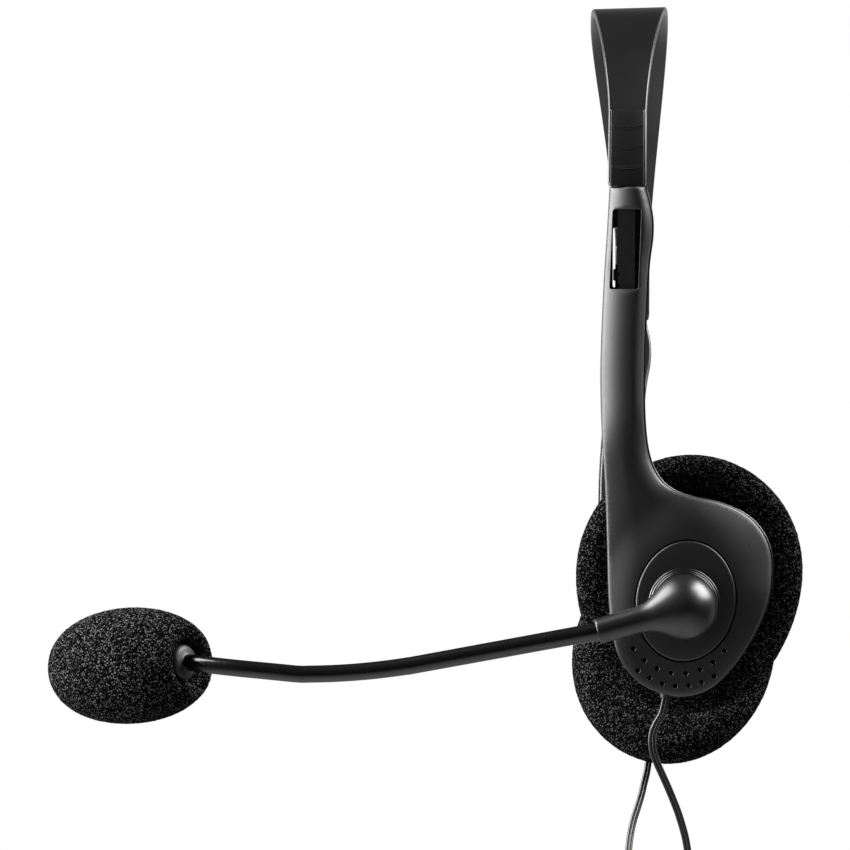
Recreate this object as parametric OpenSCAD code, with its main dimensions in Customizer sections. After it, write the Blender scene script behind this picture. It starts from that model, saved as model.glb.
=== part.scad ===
// Office headset: a sprung headband, two ear cups that slide on notched tongues, and a boom microphone
// that swings on the left cup and bends near its tip.
// +Z is up, the wearer faces -X, the left cup with the microphone is on -Y.
// The origin is the middle of the band's underside at the crown.

/* [Headband] */
// Half the width between the two ends of the band
seam_y = 72; // [68:0.5:76]
// How far the ends of the band lie below the crown
seam_drop = 56.5; // [52:0.5:60]
// Width of the band at the crown, front to back
crown_w = 18.6; // [16:0.2:20]
// Width of the band where it meets its end caps
band_end_w = 8.7; // [8.4:0.1:10]
// Thickness of the band
band_t = 1.9; // [1.7:0.1:2.4]

/* [Cups] */
// Inward lean of the stems and cups, in degrees
lean = 10.8; // [8:0.2:13]
// Twist of the relaxed right cup about its own axis, in degrees
right_twist = 1.8; // [0:0.2:3]
// How far the right cup stands out on its tongue
right_out = 1.5; // [0:0.5:5]
// Length of the tongue below the band's end
tongue_l = 44; // [38:1:48]
// Width of the tongue
tongue_w = 3.9; // [3:0.1:4.2]

/* [Ear pads] */
// Width of an ear pad, front to back
pad_w = 51.2; // [48:0.2:53]
// Height of an ear pad
pad_h = 58.8; // [56:0.2:61]
// Width of the driver's basket
driver_d = 27; // [25:0.2:28]

/* [Boom] */
// Diameter of the boom's tube
tube_d = 4; // [3.2:0.1:4.4]
// Diameter of the dome that the boom turns on
dome_d = 15.8; // [15:0.1:16.4]
// Inward bend of the microphone, in degrees
mic_bend = 34; // [20:1:40]
// Length of the microphone's windscreen
foam_l = 41.4; // [36:0.2:46]
// Diameter of the microphone's windscreen
foam_d = 26.4; // [24:0.1:28]

/* [Cords] */
// Diameter of the cord of each cup
leg_d = 1.7; // [1.4:0.1:2]
// Diameter of the main cord
main_d = 3; // [2.6:0.1:3.2]

/* [Hidden] */
$fn = 48;
slack = 0.25;               // gap left between pieces that slide or turn past each other
far = 100;                  // longer than anything that it cuts

// Cup frame: x is front to back, y is minus the height above the parting plane, z is minus the way
// down the stem, and the stem starts at the band's end.
shell_out = 5.2;            // outer face of the outer shell above the parting plane
shell_in = 3.2;             // back of the inner shell below the parting plane
plate_c = [13.7, -93.4];    // middle of the oval plate
hub_c = [13.4, -94];        // axis that the boom turns on
pad_c = [14.5, -90];        // middle of the ear pad
tube_y = -11;               // height of the boom's tube above the parting plane
bend_c = [-73, tube_y, -110.2];   // where the boom's front end bends
window_c = [-0.1, -14.3];   // middle of the stem's window
window_size = [6.4, 18];
cord_x = 9.4;               // where the cord leaves the shell, front to back
cord_s = 115.4;             // and how far down the stem

// Left cup's outline as x and way down the stem: front edge, bottom, back edge and the hollow corner.
front_edge = [[-4, 0.6], [-4.5, 10], [-5.2, 22], [-5.8, 40], [-5.5, 54], [-4.6, 68], [-4.1, 80], [-3.6, 94]];
bottom_edge = [[-2.2, 103.5], [0.5, 109], [5, 113], [12, 115], [18.5, 113.6], [24, 108.6], [29, 101], [32.2, 93]];
back_edge = [[33, 85], [31.5, 79], [27.5, 74.2], [21, 71.2], [14.5, 69.8], [10, 68], [7, 65], [5, 60], [4.1, 53]];
stem_edge = [[3.9, 44], [4.2, 30], [4.8, 18], [5.6, 11], [5.4, 6], [4, 0.6]];

function cubic(a, b, c, d, t) =
    0.5 * (2 * b + (c - a) * t + (2 * a - 5 * b + 4 * c - d) * t * t + (3 * b - a - 3 * c + d) * t * t * t);
// Smooth open curve through points p, with n steps between each two.
function smooth(p, n = 4) = [
    for (i = [0 : len(p) - 2], k = [0 : n - 1])
        cubic(p[max(i - 1, 0)], p[i], p[i + 1], p[min(i + 2, len(p) - 1)], k / n),
    p[len(p) - 1]
];
function ellipse(w, h, n = 64) = [for (i = [0 : n - 1]) [w / 2 * cos(360 * i / n), h / 2 * sin(360 * i / n)]];

// A point of the left cup's frame in the headset's frame.
function left_point(p) = [
    p[0],
    -seam_y + p[1] * cos(lean) - p[2] * sin(lean),
    -seam_drop + p[1] * sin(lean) + p[2] * cos(lean)
];
// The same for the right cup, which is mirrored, twisted and let out.
function twisted(p) = [
    p[0] * cos(right_twist) + (p[2] - right_out) * sin(right_twist),
    p[1],
    (p[2] - right_out) * cos(right_twist) - p[0] * sin(right_twist)
];
function right_point(p) = let (q = left_point(twisted(p))) [q[0], -q[1], q[2]];

module on_left() {
    translate([0, -seam_y, -seam_drop]) rotate([lean, 0, 0]) children();
}
module on_right(out = right_out) {
    mirror([0, 1, 0]) on_left() rotate([0, right_twist, 0]) translate([0, 0, -out]) children();
}
// A flat outline in x and z, from height y0 to y1 above the parting plane.
module slab(y0, y1) {
    translate([0, -y0, 0]) rotate([90, 0, 0]) linear_extrude(y1 - y0) children();
}
module round_box(size, r) {
    for (x = [-1, 1], y = [-1, 1])
        translate([x * (size[0] / 2 - r), y * (size[1] / 2 - r)]) circle(r, $fn = 32);
    square([size[0] - 2 * r, size[1]], center = true);
    square([size[0], size[1] - 2 * r], center = true);
}

// ---- Headband ----
cap_top = -39;              // where the end caps start on the band
insert_end = -53;           // how far the band's narrow end reaches into its cap
insert_w = 6;
panel_w = 7.5;              // raised grip panel of an end cap
function band_width(z) = band_end_w + (crown_w - band_end_w) * pow(max(0, 1 - z / cap_top), 1.45);
module arch(inside, outside, steps = 48) {
    function ring(off, side) = [
        for (i = [0 : steps])
            let (u = side * (90 - 180 * i / steps))
                [(seam_y + off) * sin(u), -seam_drop + (seam_drop + off) * cos(u)]
    ];
    rotate([90, 0, 90]) linear_extrude(2 * far, center = true)
        polygon(concat(ring(outside, 1), ring(inside, -1)));
}
module band_plan() {
    heights = [for (i = [0 : 16]) cap_top * (1 - i / 16) + 3 * i / 16];
    rotate([90, 0, 0]) linear_extrude(2 * far, center = true) {
        polygon(concat(
            [for (z = heights) [band_width(min(z, 0)) / 2, z]],
            [for (i = [16 : -1 : 0]) [-band_width(min(heights[i], 0)) / 2, heights[i]]]
        ));
        translate([-insert_w / 2, insert_end]) square([insert_w, cap_top - insert_end + 1]);
    }
}
module headband() {
    color("#1b1c1e") intersection() {
        arch(0, band_t);
        band_plan();
    }
}

// ---- Band ends ----
module band_insert() {
    intersection() {
        arch(0, band_t);
        translate([-insert_w / 2, -far, insert_end]) cube([insert_w, 2 * far, cap_top - insert_end]);
    }
}
module band_end_cap() {
    intersection() {
        arch(-1.2, band_t + 0.4);
        translate([-band_end_w / 2, -far, -seam_drop]) cube([band_end_w, far, cap_top + seam_drop]);
    }
    intersection() {
        arch(band_t, band_t + 0.9);
        translate([-panel_w / 2, -far, -seam_drop + 0.4]) cube([panel_w, far, cap_top + seam_drop - 0.7]);
    }
}
module grip_rib(z, r = 12) {
    intersection() {
        translate([0, 0, z + r]) rotate([90, 0, 0]) difference() {
            cylinder(r = r + 0.35, h = 2 * far, center = true);
            cylinder(r = r - 0.35, h = 3 * far, center = true);
        }
        arch(band_t + 0.5, band_t + 1.35);
        translate([-3.1, -far, z - 1]) cube([6.2, far, 3]);
    }
}
module left_cap() {
    difference() {
        union() {
            band_end_cap();
            for (z = [-43.8, -48.4, -53]) grip_rib(z);
        }
        band_insert();
        on_left() tongue_bar();
    }
}
module right_cap() {
    difference() {
        mirror([0, 1, 0]) union() {
            band_end_cap();
            for (z = [-43.8, -48.4, -53]) grip_rib(z);
        }
        band_insert();
        on_right(0) tongue_bar();
    }
}
module left_band_end() {
    color("#202124") left_cap();
}
module right_band_end() {
    color("#202124") right_cap();
}

// ---- Slider tongues ----
tongue_y = [0.35, 2.35];    // inner and outer face of the tongue above the parting plane
module tongue_bar() {
    translate([-tongue_w / 2 - 0.1, -tongue_y[1], -tongue_l])
        cube([tongue_w, tongue_y[1] - tongue_y[0], tongue_l + 3.2]);
}
module tongue() {
    notch = 0.45;
    difference() {
        tongue_bar();
        for (s = [2 : 2.5 : tongue_l - 4])
            translate([-tongue_w / 2 - 0.1, 0, -s - 17.9]) rotate([90, 0, 0])
                cylinder(r = notch, h = 12, center = true, $fn = 24);
    }
}
module left_tongue() {
    color("#2a2b2e") on_left() tongue();
}
module right_tongue() {
    color("#2a2b2e") on_right(0) tongue();
}

// ---- Shells ----
module shell_outline() {
    edge = smooth(concat(front_edge, bottom_edge, back_edge, stem_edge));
    polygon([for (p = edge) [p[0], -p[1]]]);
}
module driver_room() {
    translate(pad_c) circle(driver_d / 2 + 0.6);
}
module tongue_channel() {
    translate([-tongue_w / 2 - 0.1 - slack, -tongue_y[1] - slack, -tongue_l - 3])
        cube([tongue_w + 2 * slack, tongue_y[1] - tongue_y[0] + 2 * slack, tongue_l + 6]);
}
module window(y0, y1) {
    slab(y0, y1) translate(window_c) round_box(window_size, 1);
}
module relief_hole(r) {
    translate([cord_x, 0, -cord_s - 1]) cylinder(r = r, h = 9);
}
module vent_row(w, h, first, step, count, depth) {
    for (i = [0 : count - 1]) {
        a = first + i * step;
        translate([12.4 + w * cos(a), -depth[0], -94 - h * sin(a)]) rotate([90, 0, 0])
            cylinder(r = 0.53, h = depth[1] - depth[0], $fn = 24);
    }
}
screw_spots = [[-0.3, -56.5], [27.6, -81], [5.6, -106.9]];
module screw_holes(y0, y1, r) {
    for (p = screw_spots)
        translate([p[0], -y0, p[1]]) rotate([90, 0, 0]) cylinder(r = r, h = y1 - y0, $fn = 32);
}
module outer_shell() {
    difference() {
        slab(0, shell_out) shell_outline();
        slab(-1, 3.4) driver_room();
        slab(-1, shell_out + 1) translate(plate_c) circle(9);
        slab(3.9, shell_out + 1) translate(plate_c) polygon(ellipse(22.9, 27.6));
        tongue_channel();
        window(-1, shell_out + 1);
        relief_hole(1.5);
        vent_row(13.5, 15.8, 42, 14, 9, [2, shell_out + 1]);
        vent_row(16, 18.6, 61, 10.8, 7, [3.6, shell_out + 1]);
        screw_holes(-1, 3.2, 0.7);
    }
}
module inner_shell() {
    difference() {
        translate([0.45, 0, 0]) slab(-shell_in, 0) shell_outline();
        slab(-shell_in - 1, 1) driver_room();
        tongue_channel();
        slab(-shell_in - 1, 1) translate([-2.6, -16.05]) round_box([1.1, 13.5], 0.4);
        slab(-shell_in - 1, -1.6) translate([-2.4, -24]) round_box([2.6, 17], 0.4);
        relief_hole(1.5);
        screw_holes(-shell_in - 1, 1, 0.9);
        screw_holes(-shell_in - 1, -1.8, 1.7);
    }
}
module left_outer_shell() {
    color("#1d1e20") on_left() outer_shell();
}
module right_outer_shell() {
    color("#1d1e20") on_right() outer_shell();
}
module left_inner_shell() {
    color("#151617") on_left() inner_shell();
}
module right_inner_shell() {
    color("#151617") on_right() inner_shell();
}
// A leaf behind the stem whose head reaches through the slot beside the tongue.
module detent_spring() {
    slab(-2.5, -1.9) translate([-2.05, -24.5]) round_box([1.1, 14], 0.3);
    slab(-2.2, 1.6) translate([-2.6, -20]) round_box([0.9, 2.6], 0.3);
}
module left_detent_spring() {
    color("#242527") on_left() detent_spring();
}
module right_detent_spring() {
    color("#242527") on_right() detent_spring();
}
module shell_screws() {
    screw_holes(-3, -1.8, 1.6);
    screw_holes(-1.8, 3.2, 0.7);
}
module left_shell_screws() {
    color("#8c8f94") on_left() shell_screws();
}
module right_shell_screws() {
    color("#8c8f94") on_right() shell_screws();
}
module oval_plate() {
    slab(3.9, 5.6) translate(plate_c) polygon(ellipse(22.4, 27.1));
}
module left_boom_plate() {
    color("#18191b") on_left() difference() {
        oval_plate();
        slab(3, 7) translate(hub_c) circle(2.6);
    }
}
module right_oval_plate() {
    color("#18191b") on_right() oval_plate();
}

// ---- Speakers and ear pads ----
module speaker_baffle() {
    difference() {
        union() {
            slab(-6.2, -4.8) translate(pad_c) polygon(ellipse(42, 50));
            slab(-4.8, -shell_in) translate(pad_c) circle(driver_d / 2 + 1.6);
        }
        slab(-4.8, 0) translate(pad_c) circle(driver_d / 2 + 0.15);
        for (ring = [[0, 1], [5, 6], [10, 12]], i = [0 : ring[1] - 1])
            slab(-7, -4) translate(pad_c) rotate(360 * i / ring[1]) translate([ring[0], 0]) circle(1.1, $fn = 24);
    }
}
module left_speaker_baffle() {
    color("#111112") on_left() speaker_baffle();
}
module right_speaker_baffle() {
    color("#111112") on_right() speaker_baffle();
}
module speaker_driver() {
    translate([pad_c[0], 0, pad_c[1]]) rotate([90, 0, 0]) translate([0, 0, -4.5]) rotate_extrude($fn = 64)
        polygon([
            [0, 1], [driver_d / 2 - 2, 1], [driver_d / 2 - 2, 0], [driver_d / 2, 0],
            [driver_d / 2, 2.2], [9.5, 4.2], [9.5, 6.2], [0, 6.2]
        ]);
}
module left_speaker_driver() {
    color("#9a9da1") on_left() speaker_driver();
}
module right_speaker_driver() {
    color("#9a9da1") on_right() speaker_driver();
}
module diaphragm() {
    slab(-4.8, -4.5) translate(pad_c) circle(driver_d / 2, $fn = 64);
}
module left_diaphragm() {
    color("#c9c3ae") on_left() diaphragm();
}
module right_diaphragm() {
    color("#c9c3ae") on_right() diaphragm();
}
module ear_foam() {
    difference() {
        hull() {
            slab(-13, -12.9) translate(pad_c) polygon(ellipse(pad_w - 11, pad_h - 11, 48));
            slab(-11.4, -11.3) translate(pad_c) polygon(ellipse(pad_w - 3.4, pad_h - 3.4, 48));
            slab(-8.4, -6.6) translate(pad_c) polygon(ellipse(pad_w, pad_h, 48));
            slab(-3.6, -3.5) translate(pad_c) polygon(ellipse(pad_w - 6, pad_h - 6, 48));
        }
        slab(-6.3, -4.7) translate(pad_c) polygon(ellipse(42.4, 50.4, 48));
        slab(-5, 0) translate(pad_c) circle(driver_d / 2 + 2);
    }
}
module left_ear_foam() {
    color("#0d0d0e") on_left() ear_foam();
}
module right_ear_foam() {
    color("#0d0d0e") on_right() ear_foam();
}
module cord_relief() {
    translate([cord_x, 0, -cord_s]) rotate_extrude($fn = 32)
        polygon([[leg_d / 2, 0], [1.3, 0], [1.5, 1.4], [1.5, 6], [leg_d / 2, 6]]);
}
module left_cord_relief() {
    color("#101011") on_left() cord_relief();
}
module right_cord_relief() {
    color("#101011") on_right() cord_relief();
}

// ---- Boom ----
sleeve_dir = 15.9;          // fall of the sleeve, in degrees
sleeve_low = 0.6;           // how far its root lies below the hub's axis
sleeve_end = -6;            // front end of the sleeve
tube_fall = 10.6;           // fall of the tube where its arc starts
module boom_base_ring() {
    color("#1a1b1d") on_left() translate([hub_c[0], -5.6, hub_c[1]]) rotate([90, 0, 0])
        rotate_extrude($fn = 64) polygon([
            [2.75, 0], [8.05, 0], [8.05, 0.5], [7.6, 0.5], [7.6, 1], [7.15, 1], [7.15, 1.4], [2.75, 1.4]
        ]);
}
module hub_dome() {
    r = dome_d / 2;
    translate([hub_c[0], 0, hub_c[1]]) rotate([90, 0, 0]) rotate_extrude($fn = 64)
        polygon(concat(
            [[0, 7.2], [r - 0.6, 7.2], [r, 7.75]],
            [for (a = [7.5 : 7.5 : 90]) [r * cos(a), 7.7 + 7.2 * sin(a)]]
        ));
}
module along_sleeve() {
    translate([hub_c[0], tube_y, hub_c[1] - sleeve_low]) rotate([0, -90 - sleeve_dir, 0]) children();
}
sleeve_l = (hub_c[0] - sleeve_end) / cos(sleeve_dir);
module boom_hub() {
    color("#1e1f21") on_left() difference() {
        union() {
            hub_dome();
            translate([hub_c[0], -3.4, hub_c[1]]) rotate([90, 0, 0]) cylinder(r = 2.5, h = 4.2);
            along_sleeve() cylinder(r1 = 3.3, r2 = 2.85, h = sleeve_l);
        }
        along_sleeve() translate([0, 0, sleeve_l - 8]) cylinder(r = tube_d / 2, h = 9);
        translate([hub_c[0], -3, hub_c[1]]) rotate([90, 0, 0]) cylinder(r = 1, h = 6, $fn = 32);
    }
}
module boom_washer() {
    color("#b8bcc2") on_left() slab(3.42, 3.82) translate(hub_c) difference() {
        circle(4.3);
        circle(2.75);
    }
}
module boom_screw() {
    color("#a7abb0") on_left() {
        slab(2.5, 3.35) translate(hub_c) circle(3.6);
        slab(3.35, 8.8) translate(hub_c) circle(1, $fn = 32);
    }
}
// The tube's centreline: straight out of the sleeve, then one arc that levels out at the bend.
arc_r = 150;
arc_steps = 8;
function on_arc(a) = bend_c + [arc_r * sin(a), 0, arc_r * (1 - cos(a))];
function on_sleeve(l) =
    [hub_c[0] - l * cos(sleeve_dir), tube_y, hub_c[1] - sleeve_low - l * sin(sleeve_dir)];
rear_route = concat(
    [on_sleeve(sleeve_l - 7.9), on_sleeve(sleeve_l)],
    [for (i = [0 : arc_steps]) on_arc(tube_fall * (1 - i / arc_steps))]
);
module boom_tube_rear() {
    color("#141415") on_left() difference() {
        tube(rear_route, tube_d, 1, 24);
        translate(bend_c) sphere(tube_d / 2 + 0.4);
    }
}
// The front of the boom: a short straight piece, then an inward arc that ends at the microphone.
front_r = 27;
front_run = 10.4;
front_rise = 5.0;           // how far it turns upwards at the bend, in degrees
mic_droop = 8.6;            // and how far the microphone nods back down
module at_bend() {
    translate(bend_c) rotate([0, front_rise, 0]) children();
}
module at_mic() {
    at_bend() translate([-front_run - front_r * sin(mic_bend), front_r * (1 - cos(mic_bend)), 0])
        rotate([0, 0, -mic_bend]) rotate([0, -90 - mic_droop, 0]) children();
}
front_route = concat(
    [[0, 0, 0], [-front_run / 2, 0, 0]],
    [for (i = [0 : 6]) let (a = mic_bend * i / 6) [-front_run - front_r * sin(a), front_r * (1 - cos(a)), 0]]
);
module boom_tube_front() {
    color("#141415") on_left() at_bend() {
        tube(front_route, tube_d, 1, 24);
        sphere(tube_d / 2 - 0.05);
    }
}

// ---- Microphone ----
module mic_housing() {
    color("#161617") on_left() at_mic() rotate_extrude($fn = 64)
        polygon([
            [0, 0], [3.2, 0], [4, 0.7], [4.15, 1.5], [4.15, 3], [5.2, 4.5], [5.2, 14], [4.4, 14],
            [4.4, 8], [0, 8]
        ]);
}
module mic_capsule() {
    color("#b9b9b4") on_left() at_mic() translate([0, 0, 8]) cylinder(r = 4.4, h = 5, $fn = 64);
}
// The windscreen is an egg whose open end is cut back to a soft mouth round the housing.
lip = -4;
function egg(t) = [
    foam_d / 2 * pow(sin(180 * t), 0.78),
    lip + foam_l * (0.5 - 0.5 * cos(180 * t))
];
module mic_foam() {
    color("#0c0c0d") on_left() at_mic() rotate_extrude($fn = 64)
        polygon(concat(
            [[5.3, 16], [5.3, 3.6], [4.7, 2.7], [4.7, 1.5], [5.1, 0.5], [5.8, -0.5], [6.9, -1]],
            [for (i = [6 : 32]) egg(i / 32)],
            [[0, 16]]
        ));
}

// ---- Cords ----
left_exit = left_point([cord_x, 0, -cord_s]);
right_exit = right_point([cord_x, 0, -cord_s]);
splitter_top = [10, 0, -292];
left_route = [
    left_exit, [8.6, -49.6, -173.4], [7.3, -49, -175.6], [6.4, -48.3, -178], [6.4, -47.4, -180.8],
    [7.4, -46.4, -184], [9.1, -45.2, -187.6], [11, -43.8, -191.8], [12.8, -42, -196.4],
    [14.4, -39.6, -202.4], [15.4, -36, -212], [15.2, -30.4, -226], [14, -22.6, -244],
    [12.6, -14.4, -262], [11.6, -8, -276], [11.1, -4, -285], [11, -2, -291.6]
];
right_route = [
    right_exit, [5.2, 49.8, -175], [4.6, 48.9, -177.6], [4, 48, -180.4], [3.1, 47, -183.6],
    [2, 45.8, -187.4], [1.2, 44.2, -192], [0.8, 42, -198], [1, 38.8, -206], [2, 34, -217],
    [3.6, 27.6, -231], [5.4, 20, -247], [7, 12.6, -263], [8.2, 7, -276], [8.8, 3.8, -285], [9, 2, -291.6]
];
main_route = [[10, 0, -306], [10, 0, -309], [10, 0.2, -312], [10, 0.2, -315], [10, 0, -318]];
hank_w = 30;
hank_h = 66;
hank_t = 13;
hank_c = [10, 0, -318 - hank_h / 2];
plug_at = [10, -10.5, -336];   // where the cord enters the plug, which lies along the hank
plug_l = 17.6;              // length of the plug's grip
tail_route = [
    for (p = [[4, 6], [2.9, 6], [1.6, 5.6], [0.5, 4.6], [0, 3.2], [0, 1.6], [0, 0]]) plug_at + [0, p[0], p[1]]
];
// A tube along points p, with n rings for each point of the route.
module tube(p, d, n = 1, sides = 8) {
    line = smooth(p, n);
    last = len(line) - 1;
    function way(i) =
        let (v = line[min(i + 1, last)] - line[max(i - 1, 0)]) v / norm(v);
    function ring(i) =
        let (w = way(i), a = cross(w, [0.3, 1, 0]), u = a / norm(a), v = cross(w, u))
            [for (k = [0 : sides - 1]) line[i] + d / 2 * (cos(360 * k / sides) * u + sin(360 * k / sides) * v)];
    rings = [for (i = [0 : last]) each ring(i)];
    polyhedron(
        rings,
        concat(
            [[for (k = [0 : sides - 1]) k]],
            [[for (k = [sides - 1 : -1 : 0]) last * sides + k]],
            [for (i = [0 : last - 1], k = [0 : sides - 1]) let (m = (k + 1) % sides)
                [i * sides + k, (i + 1) * sides + k, (i + 1) * sides + m, i * sides + m]]
        )
    );
}
module left_cord() {
    color("#171718") tube(left_route, leg_d);
}
module right_cord() {
    color("#171718") tube(right_route, leg_d);
}
module main_cord() {
    color("#171718") tube(main_route, main_d);
}
module cord_tail() {
    color("#171718") tube(tail_route, main_d);
}
module cord_splitter() {
    color("#121213") translate([splitter_top[0], splitter_top[1], splitter_top[2] - 14])
        linear_extrude(14) rotate(60) round_box([8.4, 5], 2);
}
module cord_hank() {
    color("#19191a") translate(hank_c) rotate([90, 0, 0])
        linear_extrude(hank_t, center = true) {
            square([hank_w, hank_h - hank_w], center = true);
            for (z = [-1, 1]) translate([0, z * (hank_h - hank_w) / 2]) circle(hank_w / 2);
        }
}
module cord_tie() {
    color("#0f0f10") translate(hank_c) linear_extrude(4, center = true) difference() {
        round_box([hank_w + 2.4, hank_t + 2.4], 1.4);
        square([hank_w, hank_t], center = true);
    }
}
module plug_body() {
    color("#131314") translate(plug_at) rotate([180, 0, 0]) rotate_extrude($fn = 64)
        polygon([[0, 0], [2, 0], [2.4, 5], [3, 6.2], [3, 17], [2.6, plug_l], [0, plug_l]]);
}
module plug_pin() {
    color("#c9ccd1") translate(plug_at - [0, 0, plug_l]) rotate([180, 0, 0]) union() {
        cylinder(r = 1.75, h = 13, $fn = 64);
        translate([0, 0, 13]) cylinder(r1 = 1.4, r2 = 0.6, h = 1.2, $fn = 64);
    }
}

headband();
left_band_end();
right_band_end();
left_tongue();
right_tongue();
left_outer_shell();
right_outer_shell();
left_inner_shell();
right_inner_shell();
left_detent_spring();
right_detent_spring();
left_boom_plate();
right_oval_plate();
left_speaker_baffle();
right_speaker_baffle();
left_speaker_driver();
right_speaker_driver();
left_diaphragm();
right_diaphragm();
left_ear_foam();
right_ear_foam();
left_cord_relief();
right_cord_relief();
left_shell_screws();
right_shell_screws();
boom_base_ring();
boom_hub();
boom_washer();
boom_screw();
boom_tube_rear();
boom_tube_front();
mic_housing();
mic_capsule();
mic_foam();
left_cord();
right_cord();
cord_splitter();
main_cord();
cord_hank();
cord_tail();
cord_tie();
plug_body();
plug_pin();
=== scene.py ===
# %% [markdown]
# # Office headset
# A light stereo headset: a plastic headband, two ear cups with foam pads on notched tongues, and a
# boom microphone on the wearer's left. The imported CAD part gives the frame, the bodies and the sizes;
# this script gives the looks. Shapes are worked out in millimetres and stored in metres.
#
# **Cup frame.** Each cup is drawn lying flat: `x` runs front to back, `s` runs down the stem from the
# end of the band, and `h` is the height above the plane where the two shell halves meet, outward positive.

# %% Imports and the frame
import math

import bmesh
import bpy
import numpy as np
from mathutils import Matrix, Vector
from mathutils.geometry import delaunay_2d_cdt


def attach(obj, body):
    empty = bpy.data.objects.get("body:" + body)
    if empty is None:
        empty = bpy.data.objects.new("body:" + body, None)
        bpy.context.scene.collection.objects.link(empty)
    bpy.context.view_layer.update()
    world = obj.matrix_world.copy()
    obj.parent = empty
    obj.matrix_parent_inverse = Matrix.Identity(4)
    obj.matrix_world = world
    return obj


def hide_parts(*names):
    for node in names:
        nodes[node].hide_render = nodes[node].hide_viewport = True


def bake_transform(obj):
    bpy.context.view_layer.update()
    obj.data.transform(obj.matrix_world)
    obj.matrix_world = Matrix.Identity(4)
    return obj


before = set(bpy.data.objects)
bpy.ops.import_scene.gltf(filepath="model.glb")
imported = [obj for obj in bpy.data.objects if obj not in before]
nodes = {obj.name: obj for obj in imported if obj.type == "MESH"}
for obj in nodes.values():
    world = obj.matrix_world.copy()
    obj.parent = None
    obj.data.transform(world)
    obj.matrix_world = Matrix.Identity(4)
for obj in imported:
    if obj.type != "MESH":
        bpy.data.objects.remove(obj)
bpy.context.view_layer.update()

# %% [markdown]
# ## Frames of the cups
# The left cup leans inward by `LEAN` about the end of the band. The right cup is its mirror image,
# let out by `RIGHT_OUT` on its tongue and twisted by `RIGHT_TWIST`, because it hangs free.

# %% Placing points
LEAN, RIGHT_TWIST, RIGHT_OUT = math.radians(10.8), math.radians(1.8), 1.5
SEAM_Y, SEAM_DROP = 72.0, 56.5


def left(p):
    """Cup points (x, s, h) in the headset's frame, in mm: y = -72 - h cos(lean) + s sin(lean)."""
    p = np.asarray(p, float)
    x, s, h = p[..., 0], p[..., 1], p[..., 2]
    return np.stack([
        x,
        -SEAM_Y - h * math.cos(LEAN) + s * math.sin(LEAN),
        -SEAM_DROP - h * math.sin(LEAN) - s * math.cos(LEAN),
    ], -1)


def right(p):
    """The same for the right cup: let out, twisted in its own plane, then mirrored in y."""
    p = np.asarray(p, float)
    x, s, h = p[..., 0], p[..., 1] + RIGHT_OUT, p[..., 2]
    c, k = math.cos(RIGHT_TWIST), math.sin(RIGHT_TWIST)
    return left(np.stack([x * c - s * k, s * c + x * k, h], -1)) * [1, -1, 1]


SIDES = {"left": left, "right": right}
print("left cord leaves at", np.round(left([9.4, 117, 0]), 2), "mm")
print("right cord leaves at", np.round(right([9.4, 117, 0]), 2), "mm")

# %% [markdown]
# ## Camera
# A headset is shown from the side of its microphone. The camera stands far off with a long lens, so that
# the near cup hides the far one without looking bigger than it is, and a little below the cups. Its three
# directions are worked out and written into its matrix, which is plainer than a chain of constraints.

# %% Camera
AZ, EL, ROLL = math.radians(-2.42), math.radians(-10.63), math.radians(0.78)
DISTANCE, LENS = 1.26366, 224.8
target = Vector((-0.048, 0, -0.09809))
ahead = Vector((math.sin(AZ) * math.cos(EL), math.cos(AZ) * math.cos(EL), -math.sin(EL)))
side = Vector((math.cos(AZ), -math.sin(AZ), 0))
up = side.cross(ahead)
side, up = (
    math.cos(ROLL) * side + math.sin(ROLL) * up,
    math.cos(ROLL) * up - math.sin(ROLL) * side,
)
camera = bpy.data.objects.new("camera", bpy.data.cameras.new("camera"))
bpy.context.scene.collection.objects.link(camera)
camera.data.lens, camera.data.sensor_width = LENS, 36
camera.data.clip_start, camera.data.clip_end = 0.05, 20
place = target - ahead * DISTANCE
camera.matrix_world = Matrix((
    (side.x, up.x, -ahead.x, place.x),
    (side.y, up.y, -ahead.y, place.y),
    (side.z, up.z, -ahead.z, place.z),
    (0, 0, 0, 1),
))
bpy.context.scene.camera = camera
print("camera at", [round(v, 3) for v in place])

# %% [markdown]
# ## Mesh tools
# Every new piece is a closed mesh with outward faces, made in place, so its object stays at the origin.
# Most of them are a stack of rings with the same number of points: a path with a section carried along
# it, or a profile that is turned. A few functions make those stacks from arrays, and `piece` welds the
# points, turns the faces outwards and marks the crisp edges.

# %% Mesh tools
def piece(name, points, faces, material=None, body=None, sharp=40, replaces=()):
    """A mesh piece from points in mm. Edges that fold by more than `sharp` degrees stay crisp."""
    mesh = bpy.data.meshes.new(name)
    mesh.from_pydata((np.asarray(points, float) * 0.001).tolist(), [], faces)
    bm = bmesh.new()
    bm.from_mesh(mesh)
    bmesh.ops.remove_doubles(bm, verts=bm.verts, dist=2e-6)
    bmesh.ops.recalc_face_normals(bm, faces=bm.faces)
    for f in bm.faces:
        f.smooth = True
    limit = math.radians(sharp)
    for e in bm.edges:
        e.smooth = len(e.link_faces) == 2 and e.calc_face_angle(0) < limit
    bm.to_mesh(mesh)
    bm.free()
    o = bpy.data.objects.new(name, mesh)
    bpy.context.scene.collection.objects.link(o)
    if material:
        mesh.materials.append(material)
    if body:
        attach(o, body)
    if replaces:
        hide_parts(*replaces)
    return o


def grid_faces(rows, columns, closed=True):
    """Quads between neighbouring rows of a grid whose columns run round when closed."""
    around = columns if closed else columns - 1
    return [
        (r * columns + c, r * columns + (c + 1) % columns,
         (r + 1) * columns + (c + 1) % columns, (r + 1) * columns + c)
        for r in range(rows - 1) for c in range(around)
    ]


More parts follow.
